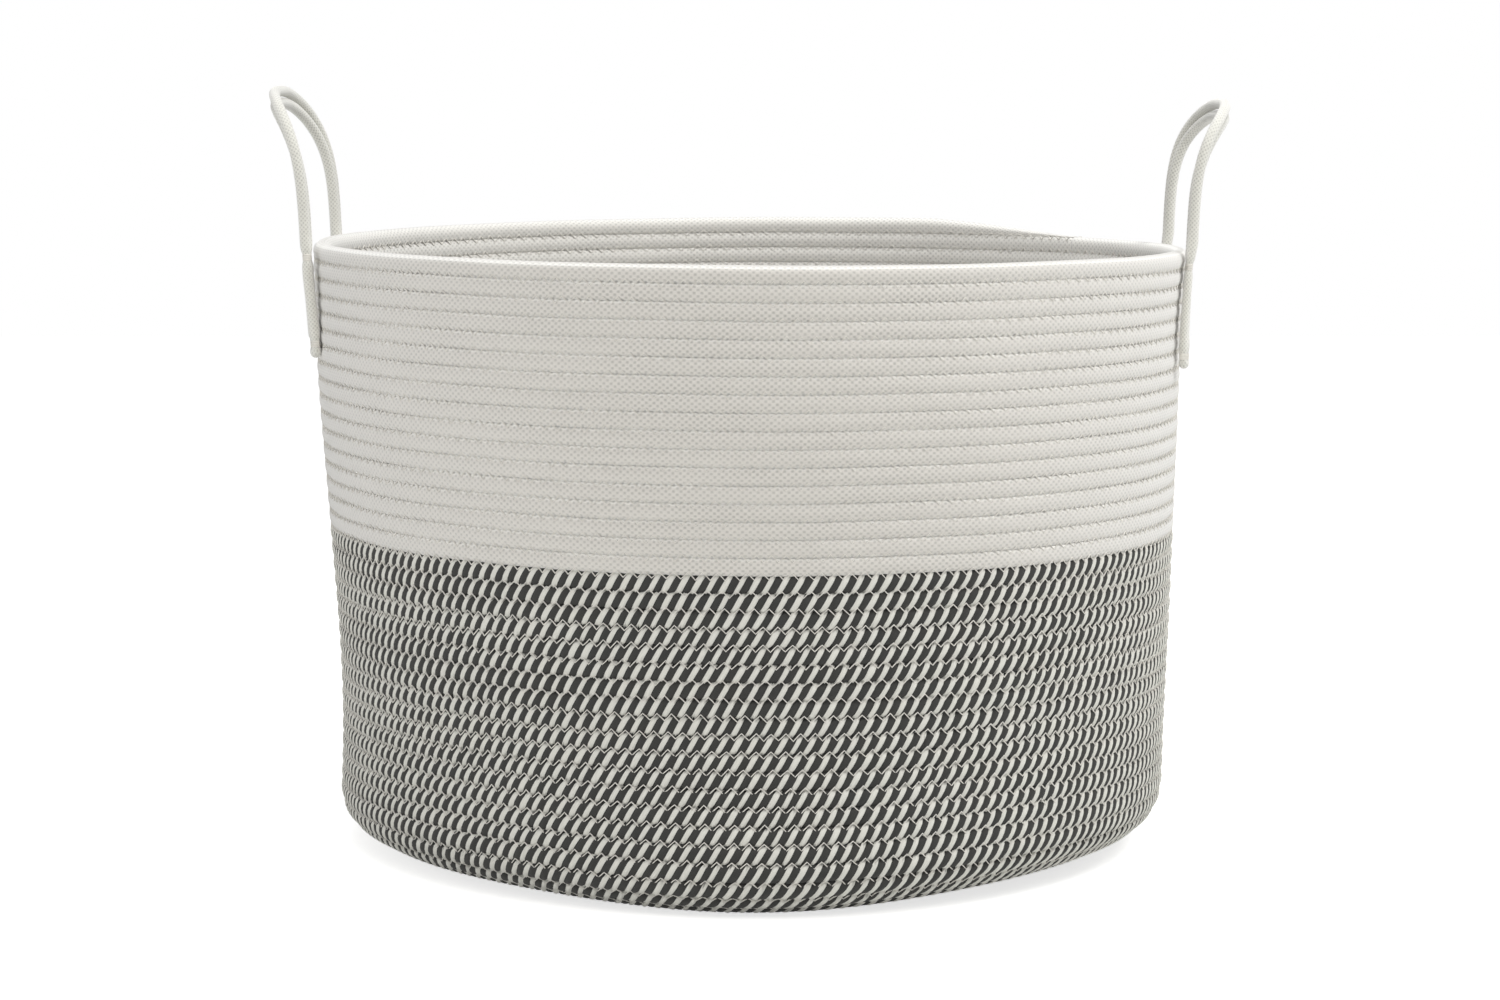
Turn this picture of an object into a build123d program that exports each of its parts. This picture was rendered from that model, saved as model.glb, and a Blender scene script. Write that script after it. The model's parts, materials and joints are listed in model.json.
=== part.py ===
"""Coiled cotton-rope laundry basket: a two-tone lower half, a white upper half, and two rope handles.

Every turn of rope is a level ring here, one coil pitch above or outside the last. The basket stands on the
XY plane with its axis on Z. The handles are at -X (left) and +X (right), and -Y is the front.
"""
import os
from math import asin, cos, radians, sin, sqrt

from build123d import *

# Driving dimensions, in millimetres and degrees
rope_diameter = 10.0          # the rope that the base and the wall are coiled from
stitch_squash = 0.5           # how far the sewing pulls each turn into the next
floor_squash = 0.4            # how far the turns that rest on the floor are pressed flat
flat_turns = 18               # turns of two-tone rope in the flat base, around the centre
turn_up_turns = 8             # turns of two-tone rope in the rounded corner
foot_turns = 3                # upright turns above the corner, before the wall starts to lean out
head_turns = 4                # upright turns at the top, below the rim
lower_wall_turns = 17         # turns of two-tone rope in the wall
upper_wall_turns = 16         # turns of white rope in the wall, below the rim
corner_ease = 3.0             # how late the corner bends: 1 is an even bend, more is later
wall_lean = 3.4               # the wall's steepest outward lean, half-way up

thread_diameter = 1.2         # the sewing thread, which lies in the groove between two turns
thread_facets = 6             # the flat sides of a thread ring's section
thread_clearance = 0.05       # from the thread to the rope

strand_diameter = 7.2         # the rope that the handles are made from
strand_clearance = 0.1        # between a handle's two strands, and from a tab to the wall
handle_span = 125.0           # across the two legs, from middle to middle of the doubled rope
handle_rise = 85.0            # from the hinge line to the top of the outer strand's middle line
arch_gap = 0.5                # the extra gap between the two strands at the top of the arch
shoulder_drop = 35.0          # from the top of the arch down to where the legs start to bend in
crown_width = 60.0            # the nearly level part at the top of the arch
shoulder_radius = 48.0        # of the outer strand, where the leg bends in
crown_radius = 52.0           # of the outer strand, where it meets the crown
left_lean = 27.0              # how far the left handle's top leans out from its hinge line
right_lean = 18.0             # how far the right handle's top leans out
lean_curve = 2.2              # 1 is a straight lean, more keeps the foot of the legs upright

hinge_height = 1.0            # the handle's hinge line, above the top of the rim
hinge_gap = 0.5               # between the round ends of a leg and its tab
tab_length = 63.0             # from the top of the rim down to the fold of a tab
lashing_diameter = 1.0        # the thread that lashes a tab to the wall
lashing_wraps = 3             # wraps of thread side by side in one lashing
lashing_grooves = (1, 6)      # the grooves that the lashings go through, counted down from the rim

# Worked-out dimensions
rope_radius = rope_diameter / 2
coil_pitch = rope_diameter - stitch_squash
web_half = sqrt(rope_radius**2 - (coil_pitch / 2) ** 2)
thread_radius = thread_diameter / 2
groove_offset = sqrt((rope_radius + thread_radius + thread_clearance) ** 2 - (coil_pitch / 2) ** 2)
strand_radius = strand_diameter / 2
strand_spacing = strand_diameter + strand_clearance

first_turn_up = flat_turns
first_lower = first_turn_up + turn_up_turns
first_upper = first_lower + lower_wall_turns
rim_turn = first_upper + upper_wall_turns

os.makedirs("parts", exist_ok=True)


def climb_angle(turn):
    """The slope of the step from one turn to the next: 0 along the floor, 90 straight up."""
    if turn < first_turn_up:
        return 0.0
    if turn < first_lower:
        share = (turn - first_turn_up + 0.5) / turn_up_turns
        return 90.0 * share**corner_ease
    first_leaning = first_lower + foot_turns
    share = (turn - first_leaning + 0.5) / (rim_turn - head_turns - first_leaning)
    return 90.0 - wall_lean * 4 * share * (1 - share) if 0 < share < 1 else 90.0


def turn_centres():
    """The middle of the rope's section in each turn, as (radius, height), from the centre to the rim."""
    centres = [(0.0, rope_radius - floor_squash)]
    for turn in range(rim_turn):
        radius, height = centres[-1]
        angle = radians(climb_angle(turn))
        centres.append((radius + coil_pitch * cos(angle), height + coil_pitch * sin(angle)))
    return centres


centres = turn_centres()
rim_top = centres[rim_turn][1] + rope_radius
rim_radius = centres[rim_turn][0] + rope_radius


def groove(turn, offset):
    """A point between this turn and the next: offset is positive outside the basket, negative inside."""
    angle = radians(climb_angle(turn))
    (r0, z0), (r1, z1) = centres[turn], centres[turn + 1]
    return ((r0 + r1) / 2 + offset * sin(angle), (z0 + z1) / 2 - offset * cos(angle))


def crest(turn, side):
    """The middle of a turn's bulge: side is 1 outside the basket and -1 inside."""
    before = climb_angle(max(turn - 1, 0))
    angle = radians((before + climb_angle(turn)) / 2)
    radius, height = centres[turn]
    return (radius + side * rope_radius * sin(angle), height - side * rope_radius * cos(angle))


def coil_outline(first, last):
    """The closed section through a run of turns: a row of arcs outside, and the same inside."""
    edges = []
    for side in (1, -1):
        for turn in range(first, last + 1):
            if turn == 0:
                start = (0.0, centres[0][1] - side * rope_radius)
                angle = asin(coil_pitch / 2 / rope_radius) / 2
                middle = (rope_radius * sin(angle), centres[0][1] - side * rope_radius * cos(angle))
            else:
                start = groove(turn - 1, side * web_half)
                middle = crest(turn, side)
            if turn < rim_turn:
                edges.append(ThreePointArc(start, middle, groove(turn, side * web_half)))
    if first == 0:
        edges.append(Line((0.0, centres[0][1] - rope_radius), (0.0, centres[0][1] + rope_radius)))
    else:
        edges.append(Line(groove(first - 1, web_half), groove(first - 1, -web_half)))
    if last == rim_turn:
        over = radians(climb_angle(rim_turn - 1))
        radius, height = centres[rim_turn]
        top = (radius + rope_radius * cos(over), height + rope_radius * sin(over))
        edges.append(ThreePointArc(groove(last - 1, web_half), top, groove(last - 1, -web_half)))
    else:
        edges.append(Line(groove(last, web_half), groove(last, -web_half)))
    return make_face(edges)


def coil(first, last):
    """A run of turns as one solid ring, cut flat where it would go through the floor."""
    section = coil_outline(first, last)
    reach = 2 * centres[last][0] + 4 * rope_diameter
    floor = Pos(0, -rope_diameter) * Rectangle(reach, 2 * rope_diameter)
    return revolve(Plane.XZ * (section - floor), axis=Axis.Z)


def stitching(first, last):
    """The sewing thread in the grooves from one turn to another, inside and outside the basket."""
    rings = []
    for turn in range(first, last):
        for side in (1, -1):
            section = Pos(*groove(turn, side * groove_offset)) * RegularPolygon(thread_radius, thread_facets)
            rings.append(revolve(Plane.XZ * section, axis=Axis.Z))
    return rings


# Each handle lies with its tabs in one upright plane, which touches the wall at the inner strand
inner_leg = handle_span / 2 - strand_spacing / 2
outer_leg = handle_span / 2 + strand_spacing / 2
handle_x = sqrt((rim_radius + strand_radius + strand_clearance) ** 2 - inner_leg**2)
hinge_z = rim_top + hinge_height
tab_top = hinge_z - strand_diameter - hinge_gap
fold_z = rim_top - tab_length + strand_radius + strand_spacing / 2


def round_ended_rope(path):
    """A rope along a path, with a half ball on each end."""
    rope = sweep(Plane(origin=path @ 0, z_dir=path % 0) * Circle(strand_radius), path=path)
    return rope + [Pos(path @ end) * Sphere(strand_radius) for end in (0, 1)]


def handle_strand(outer, lean):
    """One strand of the right handle: up one leg, over the arch and down the other."""
    inset = 0 if outer else strand_spacing
    leg = handle_span / 2 + strand_spacing / 2 - inset
    crown = handle_rise - (0 if outer else inset + arch_gap)
    shoulder = handle_rise - shoulder_drop - inset / 2

    def leaning(y, height):
        return (handle_x + lean * (height / crown) ** lean_curve, y, hinge_z + height)

    half = [leaning(-leg, 0), leaning(-leg, shoulder), leaning(inset / 2 - crown_width / 2, crown)]
    other_half = [(x, -y, z) for x, y, z in reversed(half)]
    radii = [shoulder_radius - inset, crown_radius - inset]
    return round_ended_rope(FilletPolyline(*half, *other_half, radius=radii + radii[::-1]))


def tab():
    """The sewn foot of the right back leg: both strands run down the wall and join in a tight fold."""
    down = Line((handle_x, outer_leg, tab_top), (handle_x, outer_leg, fold_z))
    lowest = (handle_x, handle_span / 2, fold_z - strand_spacing / 2)
    turn = ThreePointArc(down @ 1, lowest, (handle_x, inner_leg, fold_z))
    up = Line(turn @ 1, (handle_x, inner_leg, tab_top))
    return round_ended_rope(Wire([down, turn, up]))


def lashing():
    """The wraps of thread that hold the right back tab to the wall, each one lying in a groove."""
    gap = lashing_diameter / 2 + thread_clearance
    loop = SlotCenterToCenter(strand_spacing, strand_diameter + 2 * gap, rotation=90).wire()
    wraps = []
    for grooves_down in lashing_grooves:
        middle = groove(rim_turn - grooves_down, 0)[1]
        for wrap in range(lashing_wraps):
            height = middle + (wrap - (lashing_wraps - 1) / 2) * (lashing_diameter + thread_clearance)
            path = Pos(handle_x, handle_span / 2, height) * loop
            wraps.append(sweep(Plane(origin=path @ 0, z_dir=path % 0) * Circle(lashing_diameter / 2), path=path))
    return wraps


def save(name, *solids):
    """Writes one named sub-part."""
    piece = solids[0] if len(solids) == 1 else Compound(children=[Solid(s.wrapped) for s in solids])
    export_step(piece, f"parts/{name}.step")


zones = {
    "base": (0, first_turn_up - 1),
    "turn_up": (first_turn_up, first_lower - 1),
    "lower_wall": (first_lower, first_upper - 1),
    "upper_wall": (first_upper, rim_turn - 1),
    "rim": (rim_turn, rim_turn),
}
for name, (first, last) in zones.items():
    save(f"{name}_coil", coil(first, last))
    save(f"{name}_stitching", *stitching(first - 1 if first else 0, last))

for side, lean in (("left", left_lean), ("right", right_lean)):
    across = (lambda piece: mirror(piece, about=Plane.YZ)) if side == "left" else (lambda piece: piece)
    save(f"{side}_handle_outer_strand", across(handle_strand(True, lean)))
    save(f"{side}_handle_inner_strand", across(handle_strand(False, lean)))
    save(f"{side}_back_tab", across(tab()))
    save(f"{side}_front_tab", mirror(across(tab()), about=Plane.XZ))
    save(f"{side}_back_tab_lashing", *[across(wrap) for wrap in lashing()])
    save(f"{side}_front_tab_lashing", *[mirror(across(wrap), about=Plane.XZ) for wrap in lashing()])

print(f"rim {2 * rim_radius:.1f} across, {rim_top:.1f} high; hinge lines at x {handle_x:.2f}, z {hinge_z:.2f}")
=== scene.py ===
"""A coiled cotton-rope laundry basket: its ropes, stitches and handles, dressed around the CAD frame.

The file is laid out as an add-on and run as a script: main() registers the classes and calls each operator.
Lengths are in metres. The basket stands on the XY plane with its axis on Z, and -Y is its front.
"""
import json
import math

import bpy
import numpy as np
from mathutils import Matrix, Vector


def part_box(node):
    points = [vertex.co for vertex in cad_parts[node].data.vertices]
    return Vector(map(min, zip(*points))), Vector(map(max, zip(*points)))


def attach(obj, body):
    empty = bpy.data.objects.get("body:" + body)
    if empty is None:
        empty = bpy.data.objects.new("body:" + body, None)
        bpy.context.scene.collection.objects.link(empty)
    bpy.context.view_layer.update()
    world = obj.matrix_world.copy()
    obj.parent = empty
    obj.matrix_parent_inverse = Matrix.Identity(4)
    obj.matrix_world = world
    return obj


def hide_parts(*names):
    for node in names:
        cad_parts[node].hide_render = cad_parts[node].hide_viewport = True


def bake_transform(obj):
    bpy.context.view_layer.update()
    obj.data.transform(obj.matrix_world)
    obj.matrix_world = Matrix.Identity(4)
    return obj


bl_info = {
    "name": "Coiled Rope Basket",
    "version": (1, 0, 0),
    "blender": (4, 5, 0),
    "location": "View3D > Sidebar > Rope Basket",
    "description": "Builds a coiled, sewn rope basket with two rope handles around its CAD frame",
    "category": "Object",
}

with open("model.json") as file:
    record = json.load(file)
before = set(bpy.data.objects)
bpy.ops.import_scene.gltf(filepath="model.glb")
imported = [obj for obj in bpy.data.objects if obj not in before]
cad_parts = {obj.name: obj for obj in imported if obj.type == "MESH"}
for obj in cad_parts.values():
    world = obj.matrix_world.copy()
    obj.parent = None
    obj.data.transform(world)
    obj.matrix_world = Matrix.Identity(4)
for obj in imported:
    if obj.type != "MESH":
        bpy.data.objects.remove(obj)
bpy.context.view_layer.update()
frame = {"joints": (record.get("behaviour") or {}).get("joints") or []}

MM = 0.001
FULL_TURN = 2 * math.pi
UP = np.array([0.0, 0.0, 1.0])
SIDES = ("left", "right")
ROPE_MAP = "rope"       # millimetres along the rope and round it
BAKE_MAP = "OFBake"     # the same surface folded into a square


def srgb(code):
    """A colour written as #rrggbb, as linear red, green and blue."""
    parts = [int(code[place:place + 2], 16) / 255 for place in (1, 3, 5)]
    return tuple(p / 12.92 if p <= 0.04045 else ((p + 0.055) / 1.055) ** 2.4 for p in parts)


def length(name, description, millimetres):
    """A property that holds a length."""
    return bpy.props.FloatProperty(
        name=name, description=description, default=millimetres * MM, unit="LENGTH")


def count(name, description, default):
    """A property that holds a whole number."""
    return bpy.props.IntProperty(name=name, description=description, default=default)


def factor(name, description, default):
    """A property that holds a plain number."""
    return bpy.props.FloatProperty(name=name, description=description, default=default)


def angle(name, description, degrees):
    """A property that holds an angle."""
    return bpy.props.FloatProperty(
        name=name, description=description, default=math.radians(degrees), unit="ROTATION")


def colour(name, description, code):
    """A property that holds a colour."""
    return bpy.props.FloatVectorProperty(
        name=name, description=description, default=srgb(code), subtype="COLOR", min=0, max=1)


def both(name, description, left, right, unit="NONE"):
    """A property that holds both handles' values: in millimetres, in degrees or as plain numbers."""
    scale = {"LENGTH": MM, "ROTATION": math.radians(1), "NONE": 1}[unit]
    return bpy.props.FloatVectorProperty(
        name=name, description=description + ", at the left and the right",
        default=(left * scale, right * scale), size=2, unit=unit)


class CoilSettings(bpy.types.PropertyGroup):
    """How the rope is coiled into a base and a wall."""

    diameter: length("Rope diameter", "Across the coiled rope", 10)
    pitch: length("Coil pitch", "From one turn to the next, as the sewing pulls them together", 9.5)
    floor_squash: length("Floor squash", "How far the turns on the floor are pressed flat", 0.4)
    flat_turns: count("Flat turns", "Turns in the flat base", 18)
    corner_turns: count("Corner turns", "Turns in the rounded corner", 8)
    lower_turns: count("Lower turns", "Turns of two-tone rope in the wall", 17)
    upper_turns: count("Upper turns", "Turns of white rope in the wall, below the rim", 16)
    foot_turns: count("Foot turns", "Upright turns above the corner", 3)
    head_turns: count("Head turns", "Upright turns below the rim", 4)
    corner_ease: factor("Corner ease", "How late the corner bends", 3.0)
    wall_lean: angle("Wall lean", "The wall's steepest outward lean", 3.4)
    end_azimuth: angle("Rope end", "Where the rope ends on the rim", 35)
    end_taper: length("End taper", "How long the sewn-down end of the rope is", 116)
    unevenness: length("Unevenness", "How far the hand-guided turns wander", 0.28)
    slump: length("Slump", "How far the soft wall sways to +X low down and to -X higher up", 1.8)
    waist: length("Waist", "How far the left of the soft wall is drawn in below the rim", 1.6)
    belly: length("Belly", "How far the right of the soft wall stands out there", 0.6)
    flare: length("Flare", "How far the handles draw the rim out at both sides", 2.2)
    foot_lift: length("Foot lift", "How far the corner's lowest turns curl up beside the front", 4.2)
    foot_push: length("Foot push", "How far the corner's lowest turns are pushed out at the front", 6)
    oval: factor("Oval", "The rope's height over its thickness, before its neighbours press it flat", 1.42)


class TwoToneSettings(bpy.types.PropertyGroup):
    """The rope of the lower half: two charcoal and two natural strands, laid round each other."""

    lay: length("Lay", "The length in which a strand goes once round the rope", 15.2)
    charcoal_share: factor("Charcoal share", "The share of the rope's surface that is charcoal", 0.585)
    strand_unevenness: factor("Strand unevenness", "How much the strands' widths wander, in radians", 0.1)
    twist_unevenness: factor("Twist unevenness", "How much the rope's twist wanders, in radians", 0.25)
    crease: length("Crease", "How deep the rope is creased between two strands", 0.55)
    natural_rise: length("Natural rise", "How far the natural strands stand above the charcoal ones", 0.22)
    charcoal: colour("Charcoal", "The dyed yarn", "#2a2a29")
    charcoal_worn: colour("Worn charcoal", "Where the dyed yarn is rubbed and shows its fibres", "#3f3f3d")
    natural: colour("Natural", "The undyed yarn", "#eae9e2")
    natural_shade: colour("Natural shade", "The undyed yarn between its fibres", "#cfcec6")


class BraidSettings(bpy.types.PropertyGroup):
    """The braided white rope of the upper half and the handles."""

    carriers: count("Carriers", "Strands of one direction round the rope", 8)
    relief: length("Relief", "How far a crossing stands above the dimple beside it", 0.3)
    # The yarn's own white, shown where the rope faces out
    white: colour("White", "Bleached cotton yarn where it is handled", "#d6d2ca")
    # Painted light: a lighter white put along the groove between two turns, on the rope's upper side and
    # inside the basket
    clean: colour("Clean white", "Bleached cotton yarn that is not handled", "#faf8f2")
    # Painted light inside the basket: the inside keeps only this share of the outer face's white, and the
    # rest is the lighter painted white
    inside_wear: factor("Inside wear", "How handled the rope is inside the basket: 1 is as outside", 0.3)
    shade: colour("Shade", "How much of the white the dimples of the braid keep", "#acaba8")
    prick: colour("Needle prick", "The shadow in a needle hole", "#7c7a74")


class StitchSettings(bpy.types.PropertyGroup):
    """The zigzag seam that joins each turn to the next."""

    diameter: length("Thread diameter", "Across the sewing thread", 0.76)
    step: length("Stitch step", "From one needle hole to the next, along the groove", 3.8)
    reach: length("Stitch reach", "From the groove to a needle hole", 1.9)
    thread: colour("Thread", "Spun polyester thread", "#f0ede6")
    thread_shade: colour("Thread shade", "The thread between its plies", "#e2dfd8")


class HandleSettings(bpy.types.PropertyGroup):
    """The rope handles, each of one rope that runs round twice."""

    diameter: length("Handle rope diameter", "Across the braided rope, drawn tight", 6.3)
    spacing: length("Strand spacing", "Between the middles of the two strands", 6.4)
    span: length("Span", "Across the two legs, from middle to middle", 125)
    rise: both("Rise", "From the hinge line to the top of the outer strand", 84.8, 77.5, "LENGTH")
    leg: both("Leg", "From the hinge line to where the legs bend into the arch", 20, 40, "LENGTH")
    arch_fullness: factor("Arch fullness", "2 is a round arch, more is a squarer one", 3.1)
    tilt: both("Tilt", "How far the handle stands off upright along all of its height", 2.5, 2.15, "ROTATION")
    lean: both("Lean", "How far the handle's top curls out besides", 19.4, 19.5, "LENGTH")
    curve: both("Lean curve", "1 is a straight lean, more keeps the legs upright", 3.56, 3.9)
    skew: both("Skew", "How far the front leg stands out and the back leg in", 1.5, -0.3, "LENGTH")
    press: both("Press", "How far the tabs are pressed into the soft wall", -0.7, 0.5, "LENGTH")
    flat: both("Flat", "How much of its thickness the tabs' rope loses", 0.02, 0.2)
    drop: both("Drop", "How far the tabs reach below the frame's", 0.9, 7.2, "LENGTH")
    foot: both("Lower lashing", "How far it lies above the end of the tabs", 8.4, 7.6, "LENGTH")
    head: both("Upper lashing", "How far it lies above the frame's", 3.1, -2.4, "LENGTH")
    pinch: factor("Pinch", "How much of its thickness the rope loses where it is lashed", 0.38)
    lashing: length("Lashing thread", "Across the thread that lashes a tab to the wall", 0.9)
    wraps: count("Lashing wraps", "Wraps of thread side by side in one lashing", 4)
    white: colour("Handle white", "Bleached cotton yarn of the handles", "#e2e1d7")


class StageSettings(bpy.types.PropertyGroup):
    """The plain studio round the basket."""

    paper: colour("Paper", "The paper sweep that the basket stands on", "#f4f4f2")
    glow: factor("Paper glow", "How much whiter the paper is to the eye than its light makes it", 0.7)
    sky: factor("Sky", "How strong the light from all round is", 0.37)


class BasketSettings(bpy.types.PropertyGroup):
    """Every size and colour of the basket and its stage."""

    coil: bpy.props.PointerProperty(type=CoilSettings)
    two_tone: bpy.props.PointerProperty(type=TwoToneSettings)
    braid: bpy.props.PointerProperty(type=BraidSettings)
    stitch: bpy.props.PointerProperty(type=StitchSettings)
    handle: bpy.props.PointerProperty(type=HandleSettings)
    stage: bpy.props.PointerProperty(type=StageSettings)


def settings():
    """The basket's settings on the scene."""
    return bpy.context.scene.rope_basket


# Meshes


def unit(vectors):
    """Each vector at length 1."""
    return vectors / np.linalg.norm(vectors, axis=-1, keepdims=True)


def wander(rng, places, step, size):
    """A value at each place that drifts between random ones, a step apart."""
    knots = np.arange(places[0] - step, places[-1] + 2 * step, step)
    return np.interp(places, knots, rng.normal(0, size, len(knots)))


def run_along(path):
    """How far along a path each of its points is."""
    return np.concatenate([[0.0], np.linalg.norm(np.diff(path, axis=0), axis=1).cumsum()])


def round_ring(sides, rings, start=0.0):
    """The angles of evenly spaced sides round each of these rings."""
    return np.broadcast_to(np.arange(sides) * FULL_TURN / sides + start, (rings, sides))


def cross_frames(centres, outward, closed=False):
    """Two directions across a path at each point: the first as near to outward as it can be."""
    if closed:
        ahead, behind = np.roll(centres, -1, axis=0), np.roll(centres, 1, axis=0)
        forward = unit(ahead - behind)
    else:
        forward = unit(np.gradient(centres, axis=0))
    first = unit(outward - np.sum(outward * forward, axis=1, keepdims=True) * forward)
    return first, np.cross(forward, first)


def ring_points(centres, first, second, angles, radii):
    """Rings of points around a path. Angles and radii are shaped (rings, points round a ring)."""
    across = np.cos(angles)[..., None] * first[:, None] + np.sin(angles)[..., None] * second[:, None]
    return centres[:, None] + radii[..., None] * across


def tube_maps(places, around, ring_at, side_at, sides):
    """A tube's two pattern maps: millimetres along and round the rope, and strips that fill a square."""
    rope_map = np.stack([places[ring_at], around * side_at / sides], axis=-1)
    strips = max(1, round(math.sqrt((places[-1] - places[0]) / around)))
    rows = math.ceil(len(ring_at) / strips)
    # The strips keep a gap between them, and leave the top of the square to the end caps
    strips_height, strip_width, strip_length = 0.98, 0.96, 0.998
    strip = ring_at[..., :1] // rows
    bake_map = np.stack([
        (ring_at - strip * rows) / rows * strip_length,
        (strip + strip_width * side_at / sides) * (strips_height / strips),
    ], axis=-1)
    return rope_map.reshape(-1, 2), bake_map.reshape(-1, 2)


def cap_discs(sides):
    """The places of a tube's two end caps on the square map: two small discs in its top corner."""
    turn = np.linspace(0, FULL_TURN, sides, endpoint=False)
    size, height = 0.008, 0.99
    return [np.stack([middle + size * np.cos(turn), height + way * size * np.sin(turn)], axis=-1)
            for middle, way in ((0.01, -1), (0.03, 1))]


def tube_piece(name, points, along, around, materials, toward_second=None, closed=False):
    """A tube through rings of points, smooth, with flat closed ends.

    along is each ring's place on the rope and around the way round a ring, both for the pattern maps in mm.
    worn says which material each face round a ring has.
    """
    rings, sides = points.shape[:2]
    spans = rings if closed else rings - 1
    span, side = np.meshgrid(np.arange(spans), np.arange(sides), indexing="ij")
    # The four corners of each face, from this ring to the next and from this side to the next
    ring_at = span[..., None] + np.array([0, 0, 1, 1])
    side_at = side[..., None] + np.array([0, 1, 1, 0])
    loops = ((ring_at % rings) * sides + side_at % sides).reshape(-1)
    faces = spans * sides
    starts = np.arange(faces) * 4
    slots = np.broadcast_to(toward_second if toward_second is not None else np.zeros(sides, int), (spans, sides)).reshape(-1)
    places = np.append(along, along[-1] + (along[-1] - along[-2])) if closed else along
    rope_map, bake_map = tube_maps(places, around, ring_at, side_at, sides)
    if not closed:
        last = (rings - 1) * sides
        loops = np.concatenate([loops, np.arange(sides)[::-1], last + np.arange(sides)])
        starts = np.concatenate([starts, faces * 4 + np.array([0, sides])])
        slots = np.concatenate([slots, [0, 0]])
        discs = cap_discs(sides)
        rope_map = np.concatenate([rope_map, *[disc * around for disc in discs]])
        bake_map = np.concatenate([bake_map, *discs])

    mesh = bpy.data.meshes.new(name)
    mesh.vertices.add(rings * sides)
    mesh.vertices.foreach_set("co", points.astype(np.float32).ravel())
    mesh.loops.add(len(loops))
    mesh.loops.foreach_set("vertex_index", loops.astype(np.int32))
    mesh.polygons.add(len(starts))
    mesh.polygons.foreach_set("loop_start", starts.astype(np.int32))
    mesh.update(calc_edges=True)
    for material in materials:
        mesh.materials.append(material)
    mesh.polygons.foreach_set("material_index", slots.astype(np.int32))
    for map_name, places_on_map in ((ROPE_MAP, rope_map), (BAKE_MAP, bake_map)):
        layer = mesh.uv_layers.new(name=map_name)
        layer.uv.foreach_set("vector", places_on_map.astype(np.float32).ravel())
    mesh.uv_layers.active = mesh.uv_layers[ROPE_MAP]
    mesh.uv_layers[ROPE_MAP].active_render = True
    mesh.shade_smooth()
    if not closed:
        flat = mesh.attributes.get("sharp_face") or mesh.attributes.new("sharp_face", "BOOLEAN", "FACE")
        flat.data.foreach_set("value", np.arange(len(starts)) >= faces)
    mesh.update()
    piece = bpy.data.objects.new(name, mesh)
    bpy.context.scene.collection.objects.link(piece)
    return piece


# Materials


def connect(node, inputs):
    """Sets each of these inputs to a value, or links it to an output, or to a node's first output in use."""
    for name, value in inputs.items():
        if isinstance(value, bpy.types.Node):
            value = next(output for output in value.outputs if output.enabled)
        if isinstance(value, bpy.types.NodeSocket):
            node.id_data.links.new(value, node.inputs[name])
        else:
            node.inputs[name].default_value = value


def add_node(owner, kind, inputs=(), **settings_of):
    """Adds a node to a material or a world. Its inputs are a list in order, or a dict by name or place."""
    node = owner.node_tree.nodes.new("ShaderNode" + kind)
    for name, value in settings_of.items():
        setattr(node, name, value)
    connect(node, inputs if isinstance(inputs, dict) else dict(enumerate(inputs)))
    return node


def new_material(name, inputs):
    """A material and its shader, with these inputs."""
    material = bpy.data.materials.new(name)
    material.use_nodes = True
    shader = material.node_tree.nodes["Principled BSDF"]
    connect(shader, inputs)
    return material, shader


def new_cloth(name, roughness, sheen):
    """A cloth's material and its shader: matt, with the soft edge light of loose fibres."""
    return new_material(name, {
        "Roughness": roughness, "Sheen Weight": sheen, "Sheen Roughness": 0.8, "Specular IOR Level": 0.25})


def spun_yarn(name, full, thin, yarn_mm, roughness, sheen):
    """Spun yarn that runs along the rope's strands: full is its colour on top, thin between the fibres."""
    material, shader = new_cloth(name, roughness, sheen)
    place = add_node(material, "UVMap", uv_map=ROPE_MAP)
    fibre_mm = 3.5
    stretched = add_node(
        material, "VectorMath", [place, (1 / fibre_mm, 1 / yarn_mm, 1)], operation="MULTIPLY")
    fibres = add_node(
        material, "TexNoise", {"Vector": stretched, "Scale": 1.0, "Detail": 3.0, "Roughness": 0.6})
    wave_band = FULL_TURN / 20     # the node's bands repeat this often at scale 1
    ridges = add_node(
        material, "TexWave",
        {"Vector": place, "Scale": wave_band / yarn_mm, "Distortion": 1.5, "Detail": 1.0,
         "Detail Scale": 2.0},
        bands_direction="Y").outputs["Fac"]
    height = add_node(material, "Mix", {"Factor": 0.5, "A": ridges, "B": fibres})
    spread = add_node(material, "MapRange", {"Value": height, "From Min": 0.25, "From Max": 0.65})
    shown = add_node(
        material, "Mix", {"Factor": spread, "A": (*thin, 1), "B": (*full, 1)}, data_type="RGBA")
    bump = add_node(material, "Bump", {"Height": height, "Strength": 0.55, "Distance": 0.3 * MM})
    connect(shader, {"Base Color": shown, "Normal": bump})
    return material


def charcoal_cotton():
    """Dyed spun cotton: matt and dark, with paler fibres where the yarn rounds over."""
    two_tone = settings().two_tone
    return spun_yarn(
        "Dyed_spun_cotton", two_tone.charcoal_worn, two_tone.charcoal,
        yarn_mm=1.0, roughness=0.92, sheen=0.05)


def natural_cotton():
    """Undyed spun cotton: matt and off-white, a little darker between its fibres."""
    two_tone = settings().two_tone
    return spun_yarn(
        "Undyed_spun_cotton", two_tone.natural, two_tone.natural_shade,
        yarn_mm=1.1, roughness=0.9, sheen=0.2)


def polyester_thread():
    """Spun polyester sewing thread: off-white, slightly smoother than the cotton that it sinks into."""
    stitch = settings().stitch
    return spun_yarn(
        "Spun_polyester_thread", stitch.thread, stitch.thread_shade,
        yarn_mm=0.6, roughness=0.75, sheen=0.1)


def ripple(material, value, wavelength, shift=0.0):
    """The cosine of a value that repeats each wavelength, shifted by an angle in radians."""
    turned = add_node(material, "Math", [value, FULL_TURN / wavelength], operation="MULTIPLY")
    if shift:
        turned = add_node(material, "Math", [turned, shift], operation="ADD")
    return add_node(material, "Math", [turned], operation="COSINE")


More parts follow.
